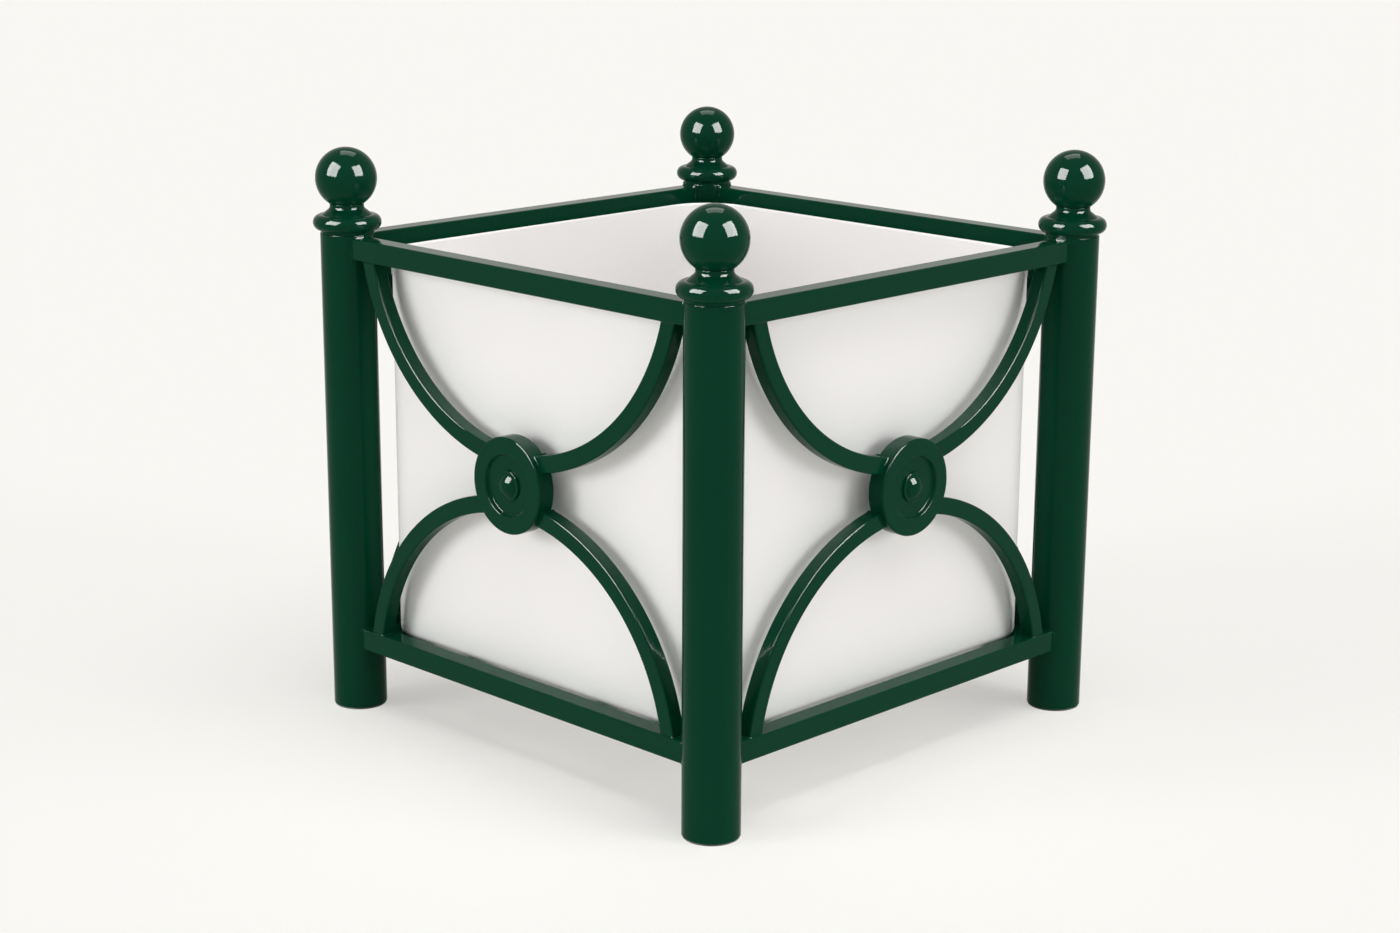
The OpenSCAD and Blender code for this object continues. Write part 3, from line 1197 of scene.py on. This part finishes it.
@dataclass
class LinerSupports:
    """What holds the liner: the lugs at its top corners, and rests and bars under it."""

    sizes: Sizes
    lug_w: float = 0.020
    lug_edge: float = 0.0006
    lug_edge_steps: int = 2
    lug_cuts: int = 9
    rest_leg: float = 0.120
    rest_steps: int = 16
    bar_wall: float = 0.002
    bar_edge_r: float = 0.0016
    bar_bore_edge_r: float = 0.0006
    bar_edge_steps: int = 6

    def build(self) -> None:
        """Makes the lugs, the rests and the bars."""
        for corner in Corner:
            turn, label = turned_to(corner), corner.label
            self.lug(corner).moved(turn).piece(f"lug_{label}", PAINT, [f"corner_lug_{label}"])
            self.rest(corner).moved(turn).piece(f"rest_{label}", PAINT, [f"corner_rest_{label}"])
        for hand in Hand:
            label = hand.name.lower()
            self.bar(f"cross_bar_{label}").piece(f"bar_tube_{label}", PAINT, [f"cross_bar_{label}"])

    def lug(self, corner: Corner) -> Workpiece:
        """Makes a lug: a block from the post towards the liner.

        Args:
            corner: The lug's corner, whose node gives its reach and height.

        Returns:
            The lug at the front right corner.
        """
        low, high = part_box(f"corner_lug_{corner.label}")
        reach = min(abs(x) + abs(y) for x in (low.x, high.x) for y in (low.y, high.y))
        start = (reach + self.lug_w / math.sqrt(2)) / math.sqrt(2)
        post_at = self.sizes.half * math.sqrt(2)
        middle = (start + post_at) / 2
        work = Workpiece()
        bmesh.ops.create_cube(work.bm, size=1.0)
        spread = Matrix.Diagonal((post_at - start, self.lug_w, high.z - low.z, 1))
        work.moved(Matrix.Translation((middle, 0, (low.z + high.z) / 2)) @ spread)
        bmesh.ops.bevel(
            work.bm, geom=work.bm.edges[:], offset=self.lug_edge, affect="EDGES",
            segments=self.lug_edge_steps, profile=0.5, material=-1,
        )
        ends = ((edge, edge.verts[0].co.y, edge.verts[1].co.y) for edge in work.bm.edges)
        sides = [edge for edge, first, second in ends if abs(first - second) > self.lug_w / 2]
        bmesh.ops.subdivide_edges(work.bm, edges=sides, cuts=self.lug_cuts, use_grid_fill=True)

        def coped(point: Vector) -> Vector:
            """Draws a point near the post back to its skin.

            Args:
                point: A point of the block.

            Returns:
                Its place on the lug.
            """
            if point.x < middle:
                return point
            return Vector((post_at - math.sqrt(self.sizes.post_r ** 2 - point.y ** 2), point.y, point.z))

        return work.shaped(coped).moved(rotation(-QUARTER_TURN / 2, "Z"))

    def rest(self, corner: Corner) -> Workpiece:
        """Makes a rest: a three-cornered plate, cut round the post.

        Args:
            corner: The rest's corner, whose node gives its height.

        Returns:
            The rest at the front right corner.
        """
        low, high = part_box(f"corner_rest_{corner.label}")
        inner, half, post_r = self.sizes.rail_inner, self.sizes.half, self.sizes.post_r
        swing = math.degrees(math.asin((half - inner) / post_r))
        outline = Outline().arc((half, -half), post_r, 90 + swing, 180 - swing, self.rest_steps)
        outline.to(inner - self.rest_leg, -inner).to(inner, -inner + self.rest_leg)
        work = Workpiece()
        rim = work.wire(Vector((x, y, low.z)) for x, y in outline.points)
        plate = bmesh.ops.contextual_create(work.bm, geom=rim)["faces"]
        raised = bmesh.ops.extrude_face_region(work.bm, geom=plate)["geom"]
        verts = [item for item in raised if isinstance(item, bmesh.types.BMVert)]
        bmesh.ops.translate(work.bm, verts=verts, vec=(0, 0, high.z - low.z))
        return work

    def bar(self, node: str) -> Workpiece:
        """Makes a flat tube under the liner, from the front rail to the back rail.

        Args:
            node: The CAD node that it stands for.

        Returns:
            The bar.
        """
        low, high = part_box(node)
        middle, size = (low + high) / 2, high - low
        skin, bore = (0.0, self.bar_edge_r), (self.bar_wall, self.bar_bore_edge_r)
        work = Workpiece()
        loops = []
        for (inset, edge_r), end in ((bore, low.y), (skin, low.y), (skin, high.y), (bore, high.y)):
            outline = Outline.rounded(size.x - 2 * inset, size.z - 2 * inset, edge_r, self.bar_edge_steps)
            loops.append(work.wire(Vector((middle.x + x, end, middle.z + z)) for x, z in outline.points))
        return work.joined(loops + loops[:1])


@dataclass(frozen=True)
class Lamp:
    """A lamp's place round the planter, in degrees."""

    name: str
    # Swing to the right of the camera, seen from above
    swing: float
    # Rise above level
    rise: float

    def hang(self, data: bpy.types.Light, azimuth: float, distance: float, aim: float) -> bpy.types.Object:
        """Hangs the lamp, turned to face the planter.

        Args:
            data: What kind of lamp it is.
            azimuth: Where the camera stands, in degrees.
            distance: How far the lamp is from the point that it faces.
            aim: Height of that point, which is on the planter's axis.

        Returns:
            The lamp.
        """
        level, lift = math.radians(azimuth + self.swing), math.radians(self.rise)
        away = Vector((math.sin(level) * math.cos(lift), -math.cos(level) * math.cos(lift), math.sin(lift)))
        lamp = bpy.data.objects.new(self.name, data)
        facing = away.to_track_quat("Z", "Y").to_matrix().to_4x4()
        lamp.matrix_world = Matrix.Translation(Vector((0, 0, aim)) + away * distance) @ facing
        bpy.context.scene.collection.objects.link(lamp)
        return lamp


@dataclass(frozen=True)
class Key(Lamp):
    """A wide soft lamp that lights the planter and isn't mirrored."""

    # Light on a face square to it, where 1 shows a colour as it is
    strength: float
    # How wide the lamp is as seen from the planter, in degrees
    spread: float
    # Where its mark hangs: its light is the same from any distance
    distance: float = 1.0

    def light(self, azimuth: float, aim: float) -> None:
        """Makes and hangs the lamp.

        Args:
            azimuth: Where the camera stands, in degrees.
            aim: Height of the point that the lamp faces.
        """
        data = bpy.data.lights.new(self.name, "SUN")
        data.energy = self.strength * math.pi
        data.angle = math.radians(self.spread)
        self.hang(data, azimuth, self.distance, aim).visible_glossy = False


@dataclass(frozen=True)
class SoftBox(Lamp):
    """A bright box that only the gloss mirrors."""

    width: float
    height: float
    # How bright its face is, where 1 is white
    radiance: float
    distance: float = 3.2

    def light(self, azimuth: float, aim: float) -> None:
        """Makes and hangs the lamp, whose power spreads over its face and a half sphere.

        Args:
            azimuth: Where the camera stands, in degrees.
            aim: Height of the point that the lamp faces.
        """
        data = bpy.data.lights.new(self.name, "AREA")
        data.shape = "RECTANGLE"
        data.size, data.size_y = self.width, self.height
        data.energy = self.radiance * self.width * self.height * math.pi
        lamp = self.hang(data, azimuth, self.distance, aim)
        lamp.visible_diffuse = False
        lamp.visible_camera = False


@dataclass
class Studio:
    """The pale floor, the soft light round the planter and the camera."""

    backdrop: Colour = (0.956, 0.939, 0.905)
    floor_paint: Colour = (0.988, 0.970, 0.935)
    floor_half: float = 40.0
    # Share of the floor's colour that shadows leave
    floor_glow: float = 0.45
    sky: float = 0.38
    sky_colour: Colour = (1.0, 1.0, 1.0)
    lamps: tuple[Key | SoftBox, ...] = (
        Key("left_key", swing=-70, rise=14, strength=0.36, spread=26),
        Key("right_key", swing=70, rise=14, strength=0.26, spread=26),
        Key("top_key", swing=35, rise=73, strength=0.42, spread=50),
        SoftBox("left_box", swing=-54, rise=30, width=2.2, height=2.4, radiance=140),
        SoftBox("right_box", swing=55, rise=31, width=2.05, height=2.3, radiance=140),
        SoftBox("top_box", swing=180, rise=67, width=5.4, height=4.2, radiance=11, distance=9.0),
    )
    # Height of the point that the lamps face
    lamp_aim: float = 0.60
    # Where the camera stands from its target, in degrees and metres, and its roll
    azimuth: float = 44.55
    elevation: float = 14.38
    distance: float = 3.1062
    roll: float = 0.3
    target: Place = (0.0, -0.0150, 0.3007)
    # Focal length in the pixels of a picture of this width
    focal_px: float = 2601.72
    picture_w: float = 1400.0
    # Width of the camera's sensor, in millimetres
    sensor: float = 36.0
    # How far the camera sees
    sight: float = 200.0

    def build(self) -> None:
        """Sets up the floor, the light and the camera."""
        bpy.context.scene.view_settings.view_transform = "Standard"
        self.floor()
        self.world()
        for lamp in self.lamps:
            lamp.light(self.azimuth, self.lamp_aim)
            log.info("%s hung", lamp.name)
        self.camera()

    def camera(self) -> None:
        """Places the camera."""
        swing, lift = math.radians(self.azimuth), math.radians(self.elevation)
        back = Vector((math.sin(swing) * math.cos(lift), -math.cos(swing) * math.cos(lift), math.sin(lift)))
        right = Vector((math.cos(swing), math.sin(swing), 0))
        axes = Matrix((right, back.cross(right), back)).transposed().to_4x4()
        data = bpy.data.cameras.new("camera")
        data.sensor_width = self.sensor
        data.lens = self.focal_px / self.picture_w * self.sensor
        data.clip_end = self.sight
        camera = bpy.data.objects.new("camera", data)
        turn = axes @ rotation(math.radians(self.roll), "Z")
        camera.matrix_world = Matrix.Translation(Vector(self.target) + back * self.distance) @ turn
        bpy.context.scene.collection.objects.link(camera)
        bpy.context.scene.camera = camera

    def floor(self) -> None:
        """Lays the floor, which shows part of its own colour through each shadow."""
        work = Workpiece()
        bmesh.ops.create_grid(work.bm, x_segments=1, y_segments=1, size=self.floor_half)
        mesh = bpy.data.meshes.new("floor")
        work.bm.to_mesh(mesh)
        work.bm.free()
        material = bpy.data.materials.new("pale_floor")
        material.use_nodes = True
        shader = Shader(material.node_tree)
        colour = opaque(self.floor_paint)
        matt = shader.node("ShaderNodeBsdfDiffuse", {}, {"Color": colour})[0]
        glow = shader.node("ShaderNodeEmission", {}, {"Color": colour, "Strength": AS_WRITTEN})[0]
        both = shader.node("ShaderNodeMixShader", {}, {0: self.floor_glow * shader.seen(), 1: matt, 2: glow})
        shader.node("ShaderNodeOutputMaterial", {}, {"Surface": both[0]})
        mesh.materials.append(material)
        floor = bpy.data.objects.new("floor", mesh)
        bpy.context.scene.collection.objects.link(floor)

    def world(self) -> None:
        """Makes the sky: the backdrop's colour where it is seen or mirrored, and soft light elsewhere."""
        world = bpy.data.worlds.new("studio")
        bpy.context.scene.world = world
        world.use_nodes = True
        shader = Shader(world.node_tree)
        soft, plain = (
            shader.node("ShaderNodeBackground", {}, {"Color": opaque(colour), "Strength": strength})[0]
            for colour, strength in ((self.sky_colour, self.sky), (self.backdrop, AS_WRITTEN))
        )
        both = shader.node("ShaderNodeMixShader", {}, {0: shader.seen(), 1: soft, 2: plain})
        shader.node("ShaderNodeOutputWorld", {}, {"Surface": both[0]})


def main() -> None:
    """Builds the planter's looks and the studio."""
    logging.basicConfig(level=logging.INFO, format="%(name)s: %(message)s")
    sizes = Sizes.read()
    parts = (
        Posts(sizes), Finials(sizes), Rails(sizes), SidePanels(sizes), Liner(), LinerSupports(sizes),
        Studio(),
    )
    for part in parts:
        log.info("building %s", type(part).__name__)
        part.build()


if __name__ == "__main__":
    main()
